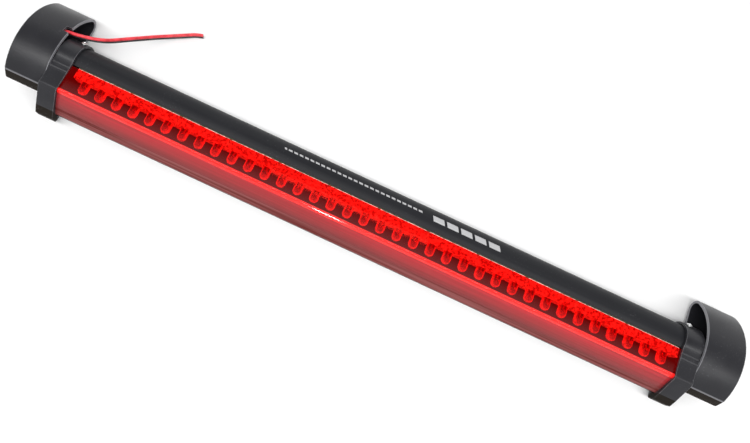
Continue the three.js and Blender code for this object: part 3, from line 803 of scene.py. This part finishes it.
window_red, tree, shader, place, lines = red_acrylic(
    "lens_window", (0.97, 0.03, 0.02), 1.0, 0.03, 0.03, 0.05)
# Painted light: a faint red emission in the window for light scattered inside the lens.
shader.inputs["Emission Color"].default_value = (1, 0.01, 0.01, 1)
shader.inputs["Emission Strength"].default_value = 0.06
# Painted shade: the lens front below the sloping face is a dark, nearly opaque copy of the red
# acrylic.
shaded_front_red, tree, shader, place, lines = red_acrylic(
    "lens_front_painted_shade", (0.2, 0.012, 0.009), 0.1, 0.35, 0.2, 0.4)
shader.inputs["Specular IOR Level"].default_value = 0.2
ridge_red, tree, shader, place, lines = red_acrylic(
    "lens_ridge", (0.9, 0.02, 0.015), 0.4, 0.08, 0.05, 0.1)
# Painted light: a red emission that makes the ridge glow.
shader.inputs["Emission Color"].default_value = (1, 0.012, 0.012, 1)
shader.inputs["Emission Strength"].default_value = 0.38

slope_red, tree, shader, place, lines = red_acrylic(
    "lens_ribbed_face", (0.52, 0.04, 0.05), 0.15, 0.22, 0.3, 0.3)
across = tree.nodes.new("ShaderNodeSeparateXYZ")
tree.links.new(place, across.inputs[0])
shader.inputs["Specular IOR Level"].default_value = 0.25
# Painted light and shade: the sloping face is lighter at its top and darker towards its foot.
down = spread(tree, across.outputs["Y"], SLOPE_TOP_Y, SLOPE_FOOT_Y, 0, 1)
painted_slope_shading = blend_colour(tree, down, (0.6, 0.03, 0.04), (0.22, 0.042, 0.042))
ribs = spread(tree, lines, 0.38, 0.62, 0, 1)
ribbed = blend_colour(tree, calculate(tree, "MULTIPLY", ribs, 0.4), painted_slope_shading, (0.2, 0.03, 0.03))
tree.links.new(ribbed, shader.inputs["Base Color"])

bm = bmesh.new()
outline = draw_section(bm, -HOUSING_END_X, LENS_SECTION)
pull(bm, bmesh.ops.contextual_create(bm, geom=outline)["faces"], 2 * HOUSING_END_X)
for face in bm.faces:
    middle = face.calc_center_median()
    if middle.y < FRONT_FROM_Y:
        face.material_index = 3
    elif middle.y < SLOPE_TOP_Y:
        face.material_index = 2
    elif middle.y < WINDOW_FROM_Y:
        face.material_index = 1
lens = make_piece("red_lens", bm, window_red, ridge_red, slope_red, shaded_front_red)
soften(lens, 0.00025, 2, 20)
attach(lens, "lamp")
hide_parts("lens")


# Lead grommet. A soft black rubber ring in the left end cap that the lead passes through.
rubber, tree, shader, place = new_material("soft_rubber", (0.014, 0.014, 0.015), 0.75)
surface = use_group(tree, moulded_surface, place, Cloud_Scale=400.0, Grain_Scale=2500.0)
tree.links.new(blend_colour(tree, surface["Clouds"], (0.01, 0.01, 0.011), (0.03, 0.03, 0.031)),
               shader.inputs["Base Color"])
tree.links.new(spread(tree, surface["Clouds"], 0.3, 0.7, 0.65, 0.85), shader.inputs["Roughness"])
raise_surface(tree, shader, surface["Grain"], 0.3, 0.0001)
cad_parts["lead_grommet"].material_slots[0].material = rubber


# Studio. A pale floor under the pads and a pale surround with a dark strip overhead. A long soft
# light by the camera, a dim one that hazes the window's middle, and a small one for the glint.
LIGHTS = [
    ("long_light", (0, -0.3, 0.85), (1.9, 0.2), 9.0),
    ("haze_light", (0, 0.215, 0.92), (0.36, 0.045), 0.4),
    ("glint_light", (-0.033, -0.87, 0.55), (0.063, 0.08), 0.65),
]
STRIP_SIDE = (0, 0.965, -0.262)
FLOOR_SIZE = 3

bm = bmesh.new()
bmesh.ops.create_grid(bm, x_segments=1, y_segments=1, size=FLOOR_SIZE)
floor_paint, tree, shader, place = new_material("pale_floor", (0.86, 0.86, 0.86), 0.8)
floor_tone = noise(tree, place, 3.0)
tree.links.new(blend_colour(tree, floor_tone, (0.93, 0.93, 0.93), (0.95, 0.95, 0.95)),
               shader.inputs["Base Color"])
floor = make_piece("floor", bm, floor_paint)

for name, spot, (width, depth), power in LIGHTS:
    light_data = bpy.data.lights.new(name, "AREA")
    light_data.shape = "RECTANGLE"
    light_data.size, light_data.size_y = width, depth
    light_data.energy = power
    light = bpy.data.objects.new(name, light_data)
    bpy.context.scene.collection.objects.link(light)
    light.location = spot
    light.rotation_euler = (-Vector(spot)).to_track_quat("-Z", "Y").to_euler()

world = bpy.data.worlds.new("surround")
world.use_nodes = True
sky = world.node_tree
sky.nodes["Background"].inputs["Color"].default_value = (1, 1, 1, 1)
direction = sky.nodes.new("ShaderNodeTexCoord").outputs["Generated"]
from_strip = sky.nodes.new("ShaderNodeVectorMath")
from_strip.operation = "DOT_PRODUCT"
from_strip.inputs[1].default_value = STRIP_SIDE
sky.links.new(direction, from_strip.inputs[0])
off_strip = calculate(sky, "ABSOLUTE", from_strip.outputs["Value"])
around = sky.nodes.new("ShaderNodeSeparateXYZ")
sky.links.new(direction, around.inputs[0])
surround = spread(sky, around.outputs["Y"], -0.8, 0.4, 0.55, 1.0)
sideways = calculate(sky, "ABSOLUTE", around.outputs["X"])
past_strip_end = spread(sky, sideways, 0.65, 0.85, 0, 1)
beside_strip = spread(sky, off_strip, 0.2, 0.42, 0.01, 1.0)
lit = calculate(sky, "MAXIMUM", beside_strip, past_strip_end)
sky.links.new(calculate(sky, "MULTIPLY", surround, lit), sky.nodes["Background"].inputs["Strength"])
bpy.context.scene.world = world
bpy.context.scene.view_settings.view_transform = "Standard"

bpy.context.view_layer.update()
